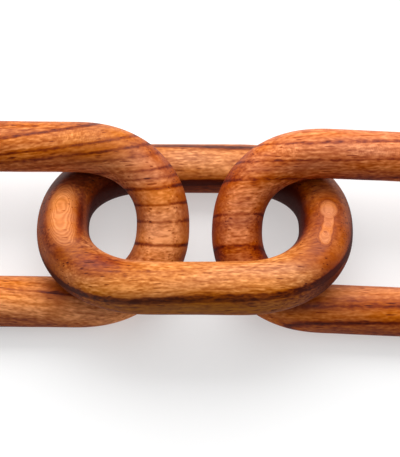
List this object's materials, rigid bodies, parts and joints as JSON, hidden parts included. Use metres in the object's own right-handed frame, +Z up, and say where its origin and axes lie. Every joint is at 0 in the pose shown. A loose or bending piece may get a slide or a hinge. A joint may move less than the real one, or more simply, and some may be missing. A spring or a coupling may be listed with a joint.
{
  "type": "wooden chain",
  "caption": "Slack decorative chain of oval links with round bars, carved from solid oiled hardwood, lying loose with each link leaning on the next.",
  "frame": {"origin": "on the table, under the middle of the chain's outside dimensions", "axes": "+X along the chain to the right, +Y away from the viewer, +Z up from the table"},
  "size_m": [0.227, 0.072, 0.0382],
  "materials": {
    "oiled_wood": "sanded smooth and oiled, satin"
  },
  "bodies": {
    "root": {"left_link": "oiled_wood", "middle_link": "oiled_wood", "right_link": "oiled_wood"}
  },
  "joints": []
}
